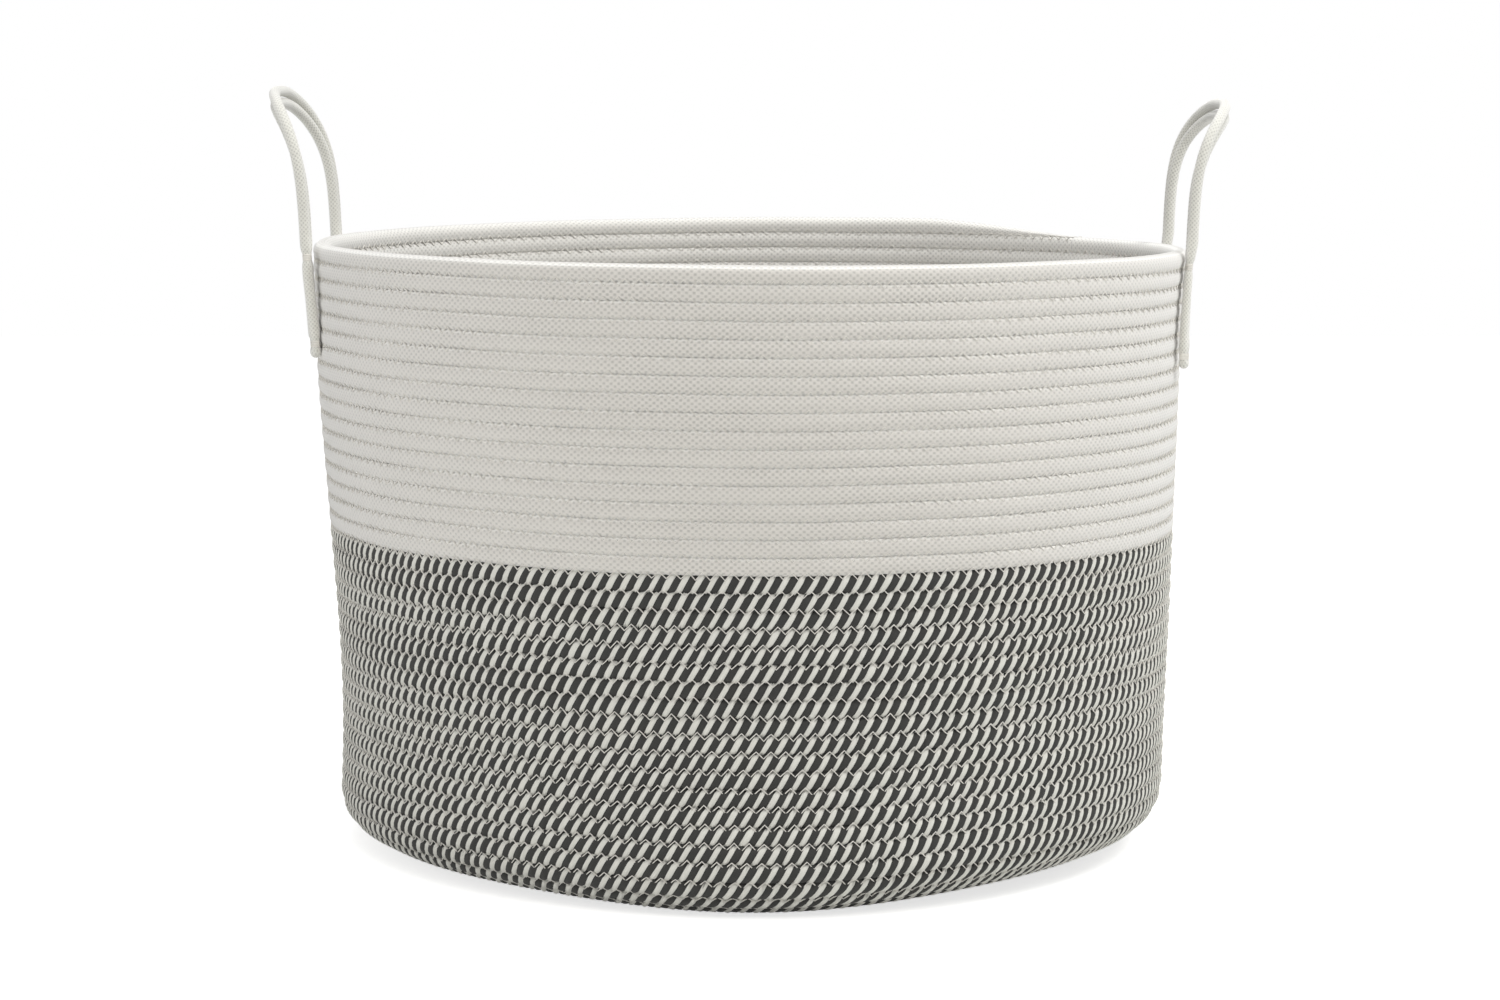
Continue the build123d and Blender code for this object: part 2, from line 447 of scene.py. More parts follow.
def soft_mask(material, *ranges):
    """A mask that is 1 where each of these values is past the second end of its range, with soft edges."""
    mask = None
    for value, low, high in ranges:
        part = add_node(
            material, "MapRange", {"Value": value, "From Min": low, "From Max": high},
            interpolation_type="SMOOTHSTEP")
        mask = part if mask is None else add_node(material, "Math", [mask, part], operation="MULTIPLY")
    return mask


def yarn_with_painted_light(material, place, white, girth_mm, groove, prick_mm):
    """The white of a coiled rope's yarn, with painted light, and a painted shadow in the needle's pricks.

    The lighter clean white is painted light: it lies along the groove between two turns, more on the rope's
    upper side, and over most of the inside. groove says how far round from the outward way the groove between
    them is.
    """
    braid = settings().braid
    along, around, _ = add_node(material, "SeparateXYZ", [place]).outputs
    # Painted shade: the face's darker white is centred a little below the rope's outward way, so its upper
    # side is painted lighter, as if lit from above
    outward = ripple(material, around, girth_mm, shift=0.05)
    from_groove = add_node(material, "Math", [outward, math.cos(groove)], operation="SUBTRACT")
    off_groove = add_node(material, "Math", [from_groove], operation="ABSOLUTE")
    # Painted light: the yarn's white stays on the outer face, and the lighter white is painted along the
    # groove and beyond it
    outside = soft_mask(material, (off_groove, 0.04, 0.24), (outward, -0.5, -0.1))
    # Painted light inside the basket, where most of the yarn's white gives way to the lighter white
    inside = add_node(
        material, "MapRange",
        {"Value": outward, "From Min": -0.55, "From Max": -0.95, "To Max": braid.inside_wear},
        interpolation_type="SMOOTHSTEP")
    # How much of the yarn's white shows; the rest is painted light
    toward_second = add_node(material, "Math", [outside, inside], operation="ADD")
    yarn = add_node(
        material, "Mix", {"Factor": toward_second, "A": (*braid.clean, 1), "B": (*white, 1)}, data_type="RGBA")
    # The needle leaves a row of shadowed pricks beside the groove, some deeper than others
    beside, at_hole = ripple(material, around, girth_mm, shift=groove), ripple(material, along, prick_mm)
    patch_mm, darkest = 9.0, 0.6
    deeper = add_node(material, "TexNoise", {"Vector": place, "Scale": 1 / patch_mm})
    prick = soft_mask(material, (beside, 0.955, 1.0), (at_hole, 0.0, 0.9), (deeper, 0.35, 0.6))
    shadow = add_node(material, "Math", [prick, darkest], operation="MULTIPLY")
    return add_node(
        material, "Mix", {"Factor": shadow, "A": yarn, "B": (*braid.prick, 1)}, data_type="RGBA")


def braided_cotton(name, white, cell_mm, girth_mm=None, groove=0.0, prick_mm=0.0):
    """Bleached cotton in a diamond braid: small bumps in crossing rows, with shaded dimples between them.

    With a girth, it is a coiled rope. It has painted light along its groove and on its upper side, and a
    painted shadow in its row of pricks, as the coiled yarn's function above makes them.
    """
    material, shader = new_cloth(name, roughness=1.0, sheen=1.0)
    place = add_node(material, "UVMap", uv_map=ROPE_MAP)
    cells = add_node(
        material, "VectorMath", [place, (1 / cell_mm, 1 / cell_mm, 1)], operation="MULTIPLY")
    along, around, _ = add_node(material, "SeparateXYZ", [cells]).outputs
    waves = [ripple(material, way, 1) for way in (along, around)]
    crossing = add_node(material, "Math", waves, operation="MULTIPLY")
    diagonals = [add_node(material, "Math", [along, around], operation=way) for way in ("ADD", "SUBTRACT")]
    diagonal = add_node(material, "CombineXYZ", [*diagonals, 0.0])
    half_cell_on = add_node(material, "VectorMath", [diagonal, (0.5, 0.5, 0.5)])
    parity = add_node(material, "TexChecker", {"Vector": half_cell_on, "Scale": 1.0}).outputs["Fac"]
    # Three yarns side by side in each strand, which is one unit wide on the diagonal
    yarns_each = 3
    yarns = [ripple(material, way, 1 / yarns_each) for way in diagonals]
    yarn = add_node(material, "Mix", {"Factor": parity, "A": yarns[0], "B": yarns[1]})
    fibre_mm, patch_mm = 1.3, 60.0
    fibres = add_node(
        material, "TexNoise", {"Vector": place, "Scale": 1 / fibre_mm, "Detail": 3.0, "Roughness": 0.65})
    patches = add_node(material, "TexNoise", {"Vector": place, "Scale": 1 / patch_mm, "Detail": 2.0})

    # Shade in the dimples and between the fibres, in larger patches of more and less
    depth = add_node(
        material, "MapRange",
        {"Value": crossing, "From Min": -1.0, "From Max": 0.3, "To Min": 1.0, "To Max": 0.0},
        interpolation_type="SMOOTHSTEP")
    dimple_shade, grain_shade, grain_level, patch_level = 0.6, 0.5, -0.15, 0.5
    dimples = add_node(material, "Math", [depth, dimple_shade], operation="MULTIPLY")
    grain = add_node(material, "Math", [fibres, grain_shade, grain_level], operation="MULTIPLY_ADD")
    shading = add_node(material, "Math", [dimples, grain], operation="ADD")
    strength = add_node(material, "Math", [patches, patch_level], operation="ADD")
    patchy = add_node(material, "Math", [shading, strength], operation="MULTIPLY")
    shade = add_node(
        material, "Mix", {"Factor": patchy, "A": (1, 1, 1, 1), "B": (*settings().braid.shade, 1)},
        data_type="RGBA", clamp_factor=True)
    # The coiled rope's white carries its painted light and painted pricks; the handles keep their plain white
    white_and_painted_light = yarn_with_painted_light(material, place, white, girth_mm, groove, prick_mm) if girth_mm else (*white, 1)
    shown = add_node(
        material, "Mix", {"Factor": 1.0, "A": white_and_painted_light, "B": shade},
        data_type="RGBA", blend_type="MULTIPLY")

    yarn_height, crossing_height = 0.12, 0.5
    yarn_bumps = add_node(material, "Math", [yarn, yarn_height], operation="MULTIPLY")
    fine = add_node(material, "Math", [yarn_bumps, fibres], operation="ADD")
    crossings = add_node(material, "Math", [crossing, crossing_height], operation="MULTIPLY")
    height = add_node(material, "Math", [fine, crossings], operation="ADD")
    bump = add_node(material, "Bump", {"Height": height, "Strength": 0.5, "Distance": 0.25 * MM})
    connect(shader, {"Base Color": shown, "Normal": bump})
    return material


# The coil


class Coil:
    """The middle line of the coiled rope. A place on it is given in turns from the centre of the base."""

    def __init__(self):
        rope = settings().coil
        self.rope = rope
        self.first_corner = rope.flat_turns
        self.first_lower = self.first_corner + rope.corner_turns
        self.first_upper = self.first_lower + rope.lower_turns
        self.rim = self.first_upper + rope.upper_turns
        # The turns at which the rope itself starts and ends
        self.start, self.end = -0.3, self.rim + 0.5
        self.slopes = np.array([self.climb(turn) for turn in range(self.rim + 2)])
        steps = rope.pitch * np.stack([np.cos(self.slopes), np.sin(self.slopes)], axis=1)
        first = [[0.0, rope.diameter / 2 - rope.floor_squash]]
        self.profile = np.concatenate([first, steps]).cumsum(axis=0)
        self.rim_height = self.profile[self.rim, 1]
        top, frame_top, tolerance = self.rim_height + rope.diameter / 2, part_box("rim_coil")[1][2], 0.2 * MM
        if abs(top - frame_top) > tolerance:
            raise RuntimeError(f"the coil's rim is at {top}, and the frame's at {frame_top}")
        # Each wave has a number of swells round the basket, two phases, and two drifts from turn to turn
        rng, most_drift = np.random.default_rng(7), 0.5
        self.waves = [
            (swells, *rng.uniform(0, FULL_TURN, 2), *rng.uniform(-most_drift, most_drift, 2))
            for swells in (3, 5, 8, 13)]
        steps_per_turn = 400
        self.fine = np.arange(self.start - 1, self.end + 1, 1 / steps_per_turn)
        self.run = run_along(self.at(self.fine)[0])

    def climb(self, turn):
        """The slope of the step from one turn to the next: 0 along the floor, and pi / 2 straight up."""
        rope = self.rope
        if turn < self.first_corner:
            return 0.0
        if turn < self.first_lower:
            return math.pi / 2 * ((turn - self.first_corner + 0.5) / rope.corner_turns) ** rope.corner_ease
        leaning = self.first_lower + rope.foot_turns
        share = (turn - leaning + 0.5) / (self.rim - rope.head_turns - leaning)
        lean = rope.wall_lean * 4 * share * (1 - share) if 0 < share < 1 else 0.0
        return math.pi / 2 - lean

    def at(self, turns):
        """The rope's middle at these turns, with the ways out of the basket's shell and up along it."""
        rope, turns = self.rope, np.asarray(turns, float)
        places = np.arange(len(self.profile))
        # The rope starts narrow, and its inner edge stays at the centre until it is at its full width
        radius = np.interp(turns, places, self.profile[:, 0])
        radius = np.where(turns < 0.5, rope.pitch / 2 * (turns + 0.5), radius)
        height = np.interp(turns, places, self.profile[:, 1])
        slope = np.interp(turns, np.arange(len(self.slopes)) + 0.5, self.slopes)
        azimuth = rope.end_azimuth + FULL_TURN * (self.end - turns)
        swell, sway = self.wandering(turns, radius, azimuth)
        radius, height = radius + swell, height + sway * np.sin(slope)
        radius = radius + self.bulge(height, azimuth)
        radius = radius + self.flare(turns, azimuth)
        push, lift = self.soft_foot(turns, azimuth)
        radius, height = radius + push, height + lift
        radial = np.stack([np.cos(azimuth), np.sin(azimuth), np.zeros_like(azimuth)], axis=-1)
        middle = radius[:, None] * radial + height[:, None] * UP
        steady = 20 * MM    # the height at which the wall starts to sway
        swaying = np.clip((height - steady) / (self.rim_height - steady), 0, 1)
        middle[:, 0] += rope.slump * np.sin(FULL_TURN * swaying)
        outward = np.sin(slope)[:, None] * radial - np.cos(slope)[:, None] * UP
        along = np.cos(slope)[:, None] * radial + np.sin(slope)[:, None] * UP
        return middle, outward, along

    def wandering(self, turns, radius, azimuth):
        """How far the hand-guided turns wander outwards and upwards: least at the centre of the base."""
        fully = 120 * MM    # the radius from which they wander fully
        size = np.clip(radius / fully, 0, 1) * self.rope.unevenness / len(self.waves)
        swell, sway = 0.0, 0.0
        for swells, phase, other_phase, drift, other_drift in self.waves:
            swell = swell + size * np.sin(swells * azimuth + phase + drift * turns)
            sway = sway + size * np.sin(swells * azimuth + other_phase + other_drift * turns)
        return swell, sway

    def bulge(self, height, azimuth):
        """How far the soft wall stands out below the rim: a belly at the right, and a waist at the left."""
        middle, spread = 0.66, 0.15     # as shares of the rim's height
        right = (1 + np.cos(azimuth)) / 2
        near = np.exp(-((height / self.rim_height - middle) / spread) ** 2)
        return (self.rope.belly * right - self.rope.waist * (1 - right)) * near

    def flare(self, turns, azimuth):
        """How far the handles' pull draws the rim and the turns just below it out at both sides."""
        turns_drawn, narrowness = 2.5, 6
        pulled = np.exp(-(((self.rim - turns) / turns_drawn) ** 2)) * np.cos(azimuth) ** narrowness
        return self.rope.flare * pulled

    def soft_foot(self, turns, azimuth):
        """How far the soft foot is pushed out and lifted.

        It bears on the floor at the front, curls up beside it, and comes lower again at the left and right.
        """
        # Soft from 4 turns before the corner's start to 16 after it, and fully so from 4 to 6 after it
        low = np.interp(turns, self.first_corner + np.array([-4, 4, 6, 16]), [0.0, 1.0, 1.0, 0.0])
        low = low * low * (3 - 2 * low)
        from_front = np.angle(np.exp(1j * (azimuth + math.pi / 2)))
        front_spread, side_spread = 0.5, 0.3    # radians
        front = np.exp(-((from_front / front_spread) ** 2))
        side = np.exp(-(((np.abs(from_front) - math.pi / 2) / side_spread) ** 2))
        front_bearing, side_bearing, more_at_right = 1.35, 0.6, 0.25
        lift = self.rope.foot_lift * low * (1 - front_bearing * front - side_bearing * side) \
            * (1 + more_at_right * np.cos(azimuth))
        return self.rope.foot_push * low * front, lift

    def pressed(self, angles, turns):
        """How far the surface of a rope of radius 1 stands from its middle, at angles from the outward way.

        The soft rope is an oval, pressed flat where it meets the turns beside it. The rim is free on top.
        """
        # The pressed turns go a little into each other, so that no gap shows between them
        overlap, least_up = 1.07, 0.1
        outward, up = np.cos(angles), np.sin(angles)
        oval = (outward**2 + (up / self.rope.oval) ** 2) ** -0.5
        flat = overlap * self.rope.pitch / self.rope.diameter / np.maximum(np.abs(up), least_up)
        radii = np.minimum(oval, flat)
        free = np.where(turns + 1 < self.end, 1 - self.fullness(turns + 1), 1.0)[:, None]
        return np.where(up > 0, radii + (1 - radii) * free, radii)

    def face(self, beside):
        """How far the rope's outer face stands from its middle, this far to one side."""
        radius = self.rope.diameter / 2
        return radius * math.sqrt(1 - (beside / radius / self.rope.oval) ** 2)

    def fullness(self, turns):
        """The share of its height that the rope keeps at these turns: its end is flattened and sewn down."""
        thinnest, straight = 0.05, 0.6      # the rest of the taper is eased at both ends
        left = np.interp(self.end, self.fine, self.run) - np.interp(turns, self.fine, self.run)
        share = np.clip(left / self.rope.end_taper, 0, 1)
        taper = straight * share + (1 - straight) * share * share * (3 - 2 * share)
        return thinnest + (1 - thinnest) * taper

    def evenly(self, first, last, step):
        """Turns from first to last, an even step of rope apart, and the rope's length at each, in mm."""
        begin, finish = np.interp([first, last], self.fine, self.run)
        places = np.linspace(begin, finish, 2 * round((finish - begin) / step / 2) + 1)
        return np.interp(places, self.run, self.fine), places / MM

    def zones(self):
        """Each zone's name with its first and last turn, as the frame's nodes split the rope."""
        edges = [0, self.first_corner, self.first_lower, self.first_upper, self.rim, self.rim + 1]
        names = ["base", "turn_up", "lower_wall", "upper_wall", "rim"]
        return {name: (first, last - 1) for name, first, last in zip(names, edges, edges[1:])}


def lay_rope(coil, zone_names, step, girth, section, materials, toward_second, turns_in_piece):
    """Builds a rope over these zones, in pieces of so many turns.

    section gives each ring's angles and radii, and girth is the way round the rope for the pattern.
    """
    zones = coil.zones()
    first, last = zones[zone_names[0]][0] - 0.5, zones[zone_names[-1]][1] + 0.5
    turns, places = coil.evenly(max(first, coil.start), last, step)
    middle, outward, _ = coil.at(turns)
    out, up = cross_frames(middle, outward)
    angles, radii = section(places, turns)
    points = ring_points(middle, out, up, angles, radii)
    if first < coil.start:
        narrow_start(points, middle, up, turns)
    if last == coil.end:
        flatten_end(coil, points, middle, out, up, turns)
    points[..., 2] = np.maximum(points[..., 2], 0.0)
    for zone in zone_names:
        begin, end = zones[zone][0] - 0.5, zones[zone][1] + 0.5
        parts, rounding = max(1, round((end - begin) / turns_in_piece)), 1e-6
        edges = np.searchsorted(turns, np.linspace(begin, end, parts + 1) - rounding)
        for number, (low, high) in enumerate(zip(edges, edges[1:]), 1):
            rows = slice(low, min(high, len(turns) - 1) + 1)
            piece = tube_piece(
                f"{zone}_rope_{number}", points[rows], places[rows], girth / MM, materials, toward_second)
            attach(piece, "root")
            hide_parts(f"{zone}_coil")


def narrow_start(points, middle, up, turns):
    """Narrows the first of the rope, where the coil winds out from the centre."""
    narrowing = 1 - np.clip(turns + 0.5, 0, 1)
    beside = np.sum((points - middle[:, None]) * up[:, None], axis=-1, keepdims=True)
    points -= narrowing[:, None, None] * beside * up[:, None]


def flatten_end(coil, points, middle, out, up, turns):
    """Flattens the last of the rope down onto the turn below, where its end is sewn down."""
    narrowest = 0.45
    height = coil.fullness(turns)
    width = narrowest + (1 - narrowest) * height
    offset = points - middle[:, None]
    outward = np.sum(offset * out[:, None], axis=-1, keepdims=True) * out[:, None]
    upward = np.sum(offset * up[:, None], axis=-1, keepdims=True) * up[:, None]
    drop = coil.rope.diameter / 2 * (1 - height)[:, None, None] * up[:, None]
    points[:] = middle[:, None] + width[:, None, None] * outward + height[:, None, None] * upward - drop


class BASKET_OT_two_tone_rope(bpy.types.Operator):
    """Coils the two-tone rope of the base, the corner and the lower wall"""

    bl_idname = "basket.two_tone_rope"
    bl_label = "Two-tone rope"

    def execute(self, context):
        coil, look = Coil(), settings().two_tone
        radius = coil.rope.diameter / 2
        strands, points_each, rings_per_lay = 4, 4, 11
        fullness = 0.6      # less than 1 makes a strand's bulge fuller
        natural = np.arange(strands) % 2
        widths = math.pi * np.where(natural, 1 - look.charcoal_share, look.charcoal_share)
        starts = np.append(0.0, np.cumsum(widths))
        share = np.arange(points_each) / points_each
        bulge = np.sin(math.pi * share) ** fullness
        rise = look.natural_rise * natural[:, None]
        radii = (radius - look.crease + (look.crease + rise) * bulge).ravel()
        rng = np.random.default_rng(3)

        def section(places, turns):
            """The strands turn with the lay, each a little unevenly."""
            width_step, twist_step = 7.0, 40.0      # mm of rope from one random value to the next
            edges = np.stack(
                [wander(rng, places, width_step, look.strand_unevenness) for _ in range(strands)], axis=1)
            edges = np.concatenate([edges, edges[:, :1]], axis=1) + starts
            angles = edges[:, :-1, None] + np.diff(edges, axis=1)[:, :, None] * share
            drift = wander(rng, places, twist_step, look.twist_unevenness)
            twist = FULL_TURN * places * MM / look.lay + drift
            turned = angles.reshape(len(places), -1) - twist[:, None]
            return turned, radii * coil.pressed(turned, turns)

        lay_rope(
            coil, ["base", "turn_up", "lower_wall"], look.lay / rings_per_lay, math.pi * coil.rope.diameter,
            section, [charcoal_cotton(), natural_cotton()], np.repeat(natural, points_each),
            turns_in_piece=2.5)
        return {"FINISHED"}


class BASKET_OT_white_rope(bpy.types.Operator):
    """Coils the braided white rope of the upper wall and the rim, with its sewn-down end"""

    bl_idname = "basket.white_rope"
    bl_label = "White rope"

    def execute(self, context):
        coil, braid = Coil(), settings().braid
        radius = coil.rope.diameter / 2
        cell = FULL_TURN * radius / braid.carriers
        # Six sides across the outer face and four across each flat between two turns, as the rope is pressed
        half_face_sides, half_flat_sides = 3, 2
        edge = math.asin(coil.rope.pitch / 2 / radius / coil.rope.oval)
        face = np.linspace(0, edge, half_face_sides + 1)
        face = np.arctan2(coil.rope.oval * np.sin(face), np.cos(face))
        quarter = np.concatenate([face, np.linspace(face[-1], math.pi / 2, half_flat_sides + 1)[1:]])
        half = np.concatenate([quarter, math.pi - quarter[-2::-1]])
        ring = np.concatenate([half, FULL_TURN - half[-2:0:-1]])
        girth = len(ring) * cell / 2
        groove = half_face_sides * FULL_TURN / len(ring)

        def section(places, turns):
            """Crossings and dimples by turns, both along the rope and round it."""
            rings = len(places)
            angles = np.broadcast_to(ring, (rings, len(ring)))
            parity = (np.arange(rings)[:, None] + np.arange(len(ring))) % 2
            return angles, (radius - braid.relief * parity) * coil.pressed(angles, turns)

        cotton = braided_cotton(
            "Bleached_braided_cotton", braid.white, cell / MM, girth / MM, groove,
            settings().stitch.step / MM)
        lay_rope(
            coil, ["upper_wall", "rim"], cell / 2, girth, section, [cotton], None,
            turns_in_piece=2)
        return {"FINISHED"}


class BASKET_OT_stitches(bpy.types.Operator):
    """Sews each turn to the next with a zigzag seam, outside and inside"""

    bl_idname = "basket.stitches"
    bl_label = "Seam stitches"

    def execute(self, context):
        coil, stitch = Coil(), settings().stitch
        material = polyester_thread()
        thread_radius, thread_sides = stitch.diameter / 2, 4
        sunk_at_hole, least_reach, most_reach, uneven_mm = 0.22 * MM, 0.85, 1.15, 0.1
        hole = coil.face(coil.rope.pitch / 2 - stitch.reach) - sunk_at_hole
        bridge = coil.face(coil.rope.pitch / 2) + thread_radius
        rng = np.random.default_rng(11)
        for zone, (first, last) in coil.zones().items():
            begin, end = max(first - 1.5, 0.5), last - 0.5
            for side, side_name in ((1, "outside"), (-1, "inside")):
                turns, places = coil.evenly(begin + 0.5, end + 0.5, stitch.step / 2)
                turns = turns - 0.5
                below, out_below, along_below = coil.at(turns)
                above, out_above, along_above = coil.at(turns + 1)
                middle = (below + above) / 2
                out, along = unit(out_below + out_above), unit(along_below + along_above)
                # In turn: a hole above the groove, the bridge across it, a hole below it and the bridge back
                number = np.arange(len(turns))
                at_hole = number % 2 == 0
                way = np.where(number % 4 == 0, 1.0, -1.0) * at_hole
                reach = stitch.reach * way * rng.uniform(least_reach, most_reach, len(turns))
                reach = np.where(way > 0, reach * coil.fullness(turns + 1), reach)
                lift = np.where(at_hole, hole, bridge) + rng.uniform(-uneven_mm, uneven_mm, len(turns)) * MM
                path = middle + side * lift[:, None] * out + reach[:, None] * along
                first_way, second_way = cross_frames(path, side * out)
                angles = round_ring(thread_sides, len(turns), FULL_TURN / 2 / thread_sides)
                radii = np.full(angles.shape, thread_radius)
                points = ring_points(path, first_way, second_way, angles, radii)
                points[..., 2] = np.maximum(points[..., 2], 0.0)
                piece = tube_piece(
                    f"{zone}_stitches_{side_name}", points, places,
                    math.pi * stitch.diameter / MM, [material])
                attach(piece, "root")
                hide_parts(f"{zone}_stitching")
        return {"FINISHED"}


# The handles


def resample(path, step):
    """A closed path as points an even step apart: an even number of them."""
    loop = np.concatenate([path, path[:1]])
    run = run_along(loop)
    total = 2 * round(run[-1] / step / 2)
    places = np.arange(total) * run[-1] / total
    return np.stack([np.interp(places, run, loop[:, axis]) for axis in range(3)], axis=1), places


class Handle:
    """The route of one handle's rope: up and over twice, with a tight fold at the foot of each tab."""

    def __init__(self, side):
        size = settings().handle
        self.size = size
        self.outward = -1 if side == "left" else 1
        names = ("rise", "leg", "tilt", "lean", "curve", "skew", "press", "flat", "drop", "foot", "head")
        own = {name: getattr(size, name)[SIDES.index(side)] for name in names}
        self.rise, self.leg, self.tilt, self.lean = own["rise"], own["leg"], own["tilt"], own["lean"]
        self.curve, self.skew, self.press, self.flat = own["curve"], own["skew"], own["press"], own["flat"]
        self.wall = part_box("rim_coil")[1][0] + size.diameter / 2
        fold = f"{side}_handle_fold"
        self.hinge = next(joint["pos_m"] for joint in frame["joints"] if joint["name"] == fold)
        tab_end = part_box(f"{side}_front_tab")[0][2] - own["drop"]
        self.fold_z = tab_end + size.diameter / 2 + size.spacing / 2
        half_lashing = 1.55 * MM    # half the height of one of the frame's lashings
        frame_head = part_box(f"{side}_front_tab_lashing")[1][2] - half_lashing
        self.lashings = (tab_end + own["foot"], frame_head + own["head"])

    def place(self, y, z, crown, beside):
        """Points of the handle, leaning out from the fold to the top.

        crown is the top's height over the hinge line, and beside is how far from the handle's middle the
        strand lies against the round wall.
        """
        inside_hinge = 0.4 * MM
        over = np.clip(z - self.hinge[2], 0, None)
        share = np.clip((z - self.fold_z) / (self.hinge[2] - self.fold_z), 0, 1)
        at_wall, at_hinge = np.sqrt(self.wall**2 - beside**2), abs(self.hinge[0]) - inside_hinge
        against = at_wall * (1 - share) + at_hinge * share
        # The wall gives way to the tab over two thirds of its height, and less and less above
        pressed = np.clip(3 - 3 * share, 0, 1)
        against = against - self.press * pressed - self.flatness(z) * self.size.diameter / 2
        x = against + math.tan(self.tilt) * (z - self.fold_z) + self.lean * (over / crown) ** self.curve
        x = x - self.skew * share * y / (self.size.span / 2)
        return np.stack([self.outward * x, y + 0 * x, z + 0 * x], axis=-1)

    def flatness(self, z):
        """How much of its thickness the rope loses here: a tab is flattened above its lower lashing."""
        fade = 12 * MM
        below, above = (z - self.lashings[0]) / fade, (self.hinge[2] - z) / fade
        return self.flat * np.clip(below, 0, 1) * np.clip(above, 0, 1)

    def strand(self, inset):
        """One pass of the rope, from the front fold over the arch to the back fold."""
        size = self.size
        leg_points, arch_points = 40, 60
        looser_at_crown = 1.06      # the strands' spacing there over their spacing in the legs
        leg = (size.span + size.spacing) / 2 - inset
        crown = self.rise - inset * looser_at_crown
        swing = np.linspace(0, math.pi / 2, arch_points)
        power = 2 / size.arch_fullness
        down = np.linspace(self.fold_z - self.hinge[2], self.leg, leg_points, endpoint=False)
        y = np.concatenate([np.full(leg_points, -leg), -leg * np.cos(swing) ** power])
        h = np.concatenate([down, self.leg + (crown - self.leg) * np.sin(swing) ** power])
        z = self.hinge[2] + np.concatenate([h, h[-2::-1]])
        return self.place(np.concatenate([y, -y[-2::-1]]), z, crown, leg)

    def fold(self, end):
        """The half circle that joins the two strands below a tab, from the outer strand to the inner one."""
        fold_points = 12
        turn = np.linspace(0, math.pi, fold_points + 2)[1:-1]
        reach = self.size.spacing / 2
        y = end * (self.size.span / 2 + reach * np.cos(turn))
        return self.place(y, self.fold_z - reach * np.sin(turn), self.rise, y)

    def route(self):
        """The whole closed middle line."""
        outer, inner = self.strand(0.0), self.strand(self.size.spacing)
        return np.concatenate([outer, self.fold(1), inner[::-1], self.fold(-1)[::-1]])


class BASKET_OT_handles(bpy.types.Operator):
    """Bends each handle's braided rope round twice and pinches it at its lashings"""

    bl_idname = "basket.handles"
    bl_label = "Rope handles"

    def execute(self, context):
        size, braid = settings().handle, settings().braid
        radius = size.diameter / 2
        cell = FULL_TURN * radius / braid.carriers
        points_per_cell, pinch_reach, drawn_tight = 4, 3.4 * MM, 0.7
        material = braided_cotton("Bleached_handle_braid", size.white, cell / MM)
        for side in SIDES:
            handle = Handle(side)
            path, places = resample(handle.route(), cell / points_per_cell)
            outward = np.broadcast_to([handle.outward, 0.0, 0.0], path.shape)
            out, across = cross_frames(path, outward, closed=True)
            angles = round_ring(points_per_cell * braid.carriers, len(path))
            relief = np.cos(places * FULL_TURN / cell)[:, None] * np.cos(braid.carriers * angles)
            pinch = sum(np.exp(-((path[:, 2] - height) / pinch_reach) ** 2) for height in handle.lashings)
            radii = (radius * (1 - size.pinch * pinch))[:, None]
            radii = radii + braid.relief / 2 * drawn_tight * (relief - 1)
            points = ring_points(path, (1 - handle.flatness(path[:, 2:])) * out, across, angles, radii)
            piece = tube_piece(
                f"{side}_handle_rope", points, places / MM, FULL_TURN * radius / MM, [material], closed=True)
            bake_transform(piece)
            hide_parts(f"{side}_handle_outer_strand", f"{side}_handle_inner_strand",
                        f"{side}_front_tab", f"{side}_back_tab")
        return {"FINISHED"}


def squarish(wave, squareness):
    """A sine or cosine whose circle is drawn out towards a square."""
    return np.sign(wave) * np.abs(wave) ** squareness


class BASKET_OT_lashings(bpy.types.Operator):
    """Wraps thread round each tab where it is lashed to the wall"""

    bl_idname = "basket.lashings"
    bl_label = "Tab lashings"

    def execute(self, context):
        size = settings().handle
        material = polyester_thread()
        steps_each, thread_sides, squareness = 28, 8, 0.62
        thread_radius = size.lashing / 2
        stand_off = 0.3     # from the pinched rope to the thread's middle, in the thread's radii
        hold = size.diameter / 2 * (1 - size.pinch) + thread_radius * stand_off
        turn = np.linspace(0, size.wraps * FULL_TURN, size.wraps * steps_each + 1)
        rise = (turn / FULL_TURN - size.wraps / 2) * size.lashing
        for side in SIDES:
            handle = Handle(side)
            for end, y in (("front", -size.span / 2), ("back", size.span / 2)):
                for number, height in enumerate(handle.lashings, 1):
                    along_y = (size.spacing / 2 + hold) * squarish(np.cos(turn), squareness)
                    along_x = (1 - handle.flatness(height)) * hold * squarish(np.sin(turn), squareness)
                    middle = handle.place(y + along_y, height + rise, handle.rise, y + along_y)
                    path = middle + np.stack([handle.outward * along_x, 0 * turn, 0 * turn], axis=1)
                    centre = handle.place(y + 0 * turn, height + rise, handle.rise, y + 0 * turn)
                    out, up = cross_frames(path, unit(path - centre))
                    angles = round_ring(thread_sides, len(path))
                    points = ring_points(path, out, up, angles, np.full(angles.shape, thread_radius))
                    piece = tube_piece(
                        f"{side}_{end}_lashing_{number}", points, run_along(path) / MM,
                        math.pi * size.lashing / MM, [material])
                    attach(piece, "root")
                    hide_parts(f"{side}_{end}_tab_lashing")
        return {"FINISHED"}


# The stage

LIGHT_TARGET = (0.0, 0.0, 0.2)
# Each light's name, place, width in metres, power in watts, and tint
LIGHTS = (
    ("top_light", (0.3, 0.1, 2.0), 1.6, 17, (1.0, 1.0, 0.98)),
    ("front_light", (0.0, -2.2, 2.0), 1.2, 20, (1.0, 0.98, 0.97)),
    ("left_light", (-2.2, -0.9, 0.9), 1.2, 8, (1.0, 1.0, 1.0)),
    ("right_light", (1.55, -0.45, 2.05), 0.9, 20, (1.0, 1.0, 0.98)),
)


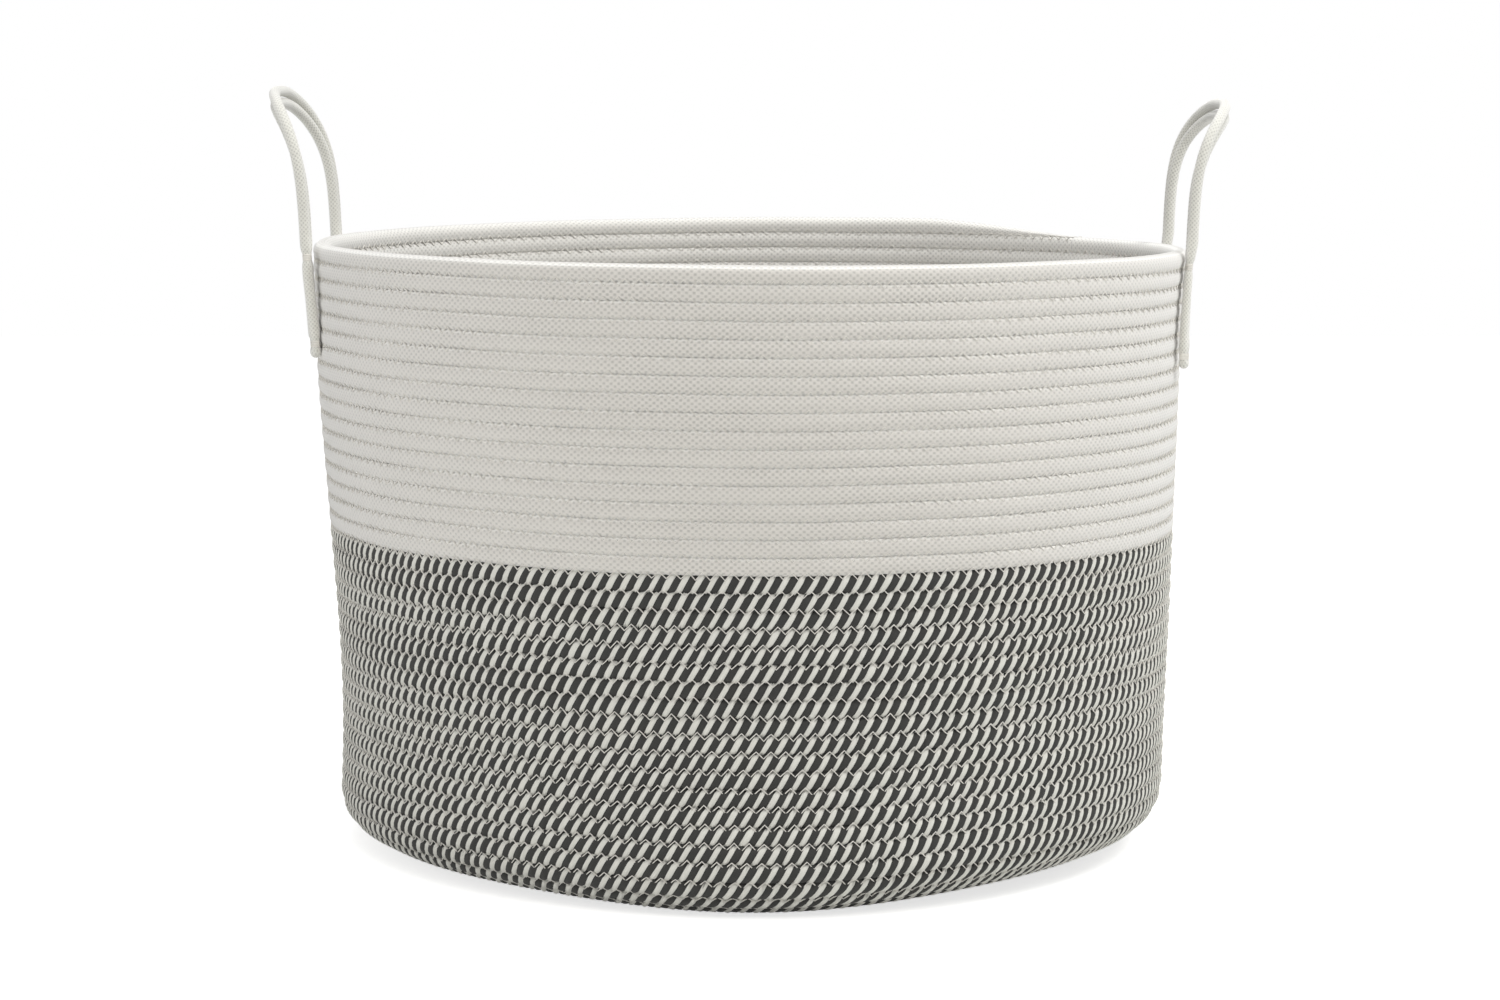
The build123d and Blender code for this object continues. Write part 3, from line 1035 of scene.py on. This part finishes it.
def seen_by_eye(owner):
    """1 for the rays that the camera and reflections see by, and 0 for those that light other things."""
    rays = add_node(owner, "LightPath").outputs
    seen = rays["Is Camera Ray"]
    for kind in ("Is Glossy Ray", "Is Transmission Ray"):
        seen = add_node(owner, "Math", [seen, rays[kind]], operation="MAXIMUM")
    return seen


def softbox(name, place, width, power, tint):
    """A square studio light that points at the basket."""
    light = bpy.data.lights.new(name, "AREA")
    light.shape, light.size, light.energy, light.color = "SQUARE", width, power, tint
    lamp = bpy.data.objects.new(name, light)
    bpy.context.scene.collection.objects.link(lamp)
    x, y, z = np.array(LIGHT_TARGET) - np.array(place)
    lamp.location = place
    lamp.rotation_euler = (math.atan2(math.hypot(x, y), -z), 0, math.atan2(y, x) - math.pi / 2)


def paper_floor():
    """A sheet of paper on the floor, just below the basket."""
    reach, gap = 4.0, 0.2 * MM
    mesh = bpy.data.meshes.new("studio_floor")
    mesh.from_pydata([(-reach, -reach, 0), (reach, -reach, 0), (reach, reach, 0), (-reach, reach, 0)],
                     [], [(0, 1, 2, 3)])
    floor = bpy.data.objects.new("studio_floor", mesh)
    floor.location.z = -gap
    bpy.context.scene.collection.objects.link(floor)
    stage = settings().stage
    paper, shader = new_material("Matt_paper_sweep", {
        "Base Color": (*stage.paper, 1), "Roughness": 1.0, "Specular IOR Level": 0.0,
        "Emission Color": (1, 1, 1, 1)})
    glow = add_node(paper, "Math", [seen_by_eye(paper), stage.glow], operation="MULTIPLY")
    connect(shader, {"Emission Strength": glow})
    mesh.materials.append(paper)


def white_sky():
    """A sky that is white to the eye and lights the basket softly from all round."""
    world = bpy.data.worlds.new("Studio_white")
    world.use_nodes = True
    bpy.context.scene.world = world
    level = add_node(
        world, "MapRange", {"Value": seen_by_eye(world), "To Min": settings().stage.sky, "To Max": 1.0})
    connect(world.node_tree.nodes["Background"], {"Color": (1, 1, 1, 1), "Strength": level})


class BASKET_OT_stage(bpy.types.Operator):
    """Sets the white floor and sky, the soft lights and the camera"""

    bl_idname = "basket.stage"
    bl_label = "Studio stage"

    def execute(self, context):
        paper_floor()
        white_sky()
        for light in LIGHTS:
            softbox(*light)
        scene = bpy.context.scene
        camera = bpy.data.cameras.new("camera")
        camera.lens, camera.sensor_width, camera.shift_x = 88.3, 36.0, -0.0006
        eye = bpy.data.objects.new("camera", camera)
        degrees_down = 6.71
        eye.location = (0.0, -2.137, 0.4477)
        eye.rotation_euler = (math.radians(90 - degrees_down), 0.0, 0.0)
        scene.collection.objects.link(eye)
        scene.camera = eye
        scene.view_settings.view_transform = "Standard"
        return {"FINISHED"}


class BASKET_PT_panel(bpy.types.Panel):
    """Lists the basket's pieces and their settings in the sidebar"""

    bl_idname = "BASKET_PT_panel"
    bl_label = "Rope Basket"
    bl_space_type = "VIEW_3D"
    bl_region_type = "UI"
    bl_category = "Rope Basket"

    def draw(self, context):
        for operator in OPERATORS:
            self.layout.operator(operator.bl_idname)
        basket = context.scene.rope_basket
        for group in basket.__annotations__:
            box = self.layout.box()
            values = getattr(basket, group)
            for name in values.__annotations__:
                box.prop(values, name)


SETTINGS = (
    CoilSettings,
    TwoToneSettings,
    BraidSettings,
    StitchSettings,
    HandleSettings,
    StageSettings,
    BasketSettings,
)
OPERATORS = (
    BASKET_OT_two_tone_rope,
    BASKET_OT_white_rope,
    BASKET_OT_stitches,
    BASKET_OT_handles,
    BASKET_OT_lashings,
    BASKET_OT_stage,
)


def register():
    """Adds the settings, the operators and the panel."""
    for kind in (*SETTINGS, *OPERATORS, BASKET_PT_panel):
        bpy.utils.register_class(kind)
    bpy.types.Scene.rope_basket = bpy.props.PointerProperty(type=BasketSettings)


def unregister():
    """Takes them away again."""
    del bpy.types.Scene.rope_basket
    for kind in (BASKET_PT_panel, *reversed(OPERATORS), *reversed(SETTINGS)):
        bpy.utils.unregister_class(kind)


def main():
    """Builds the whole basket and its stage."""
    register()
    bpy.ops.basket.two_tone_rope()
    bpy.ops.basket.white_rope()
    bpy.ops.basket.stitches()
    bpy.ops.basket.handles()
    bpy.ops.basket.lashings()
    bpy.ops.basket.stage()


if __name__ == "__main__":
    main()
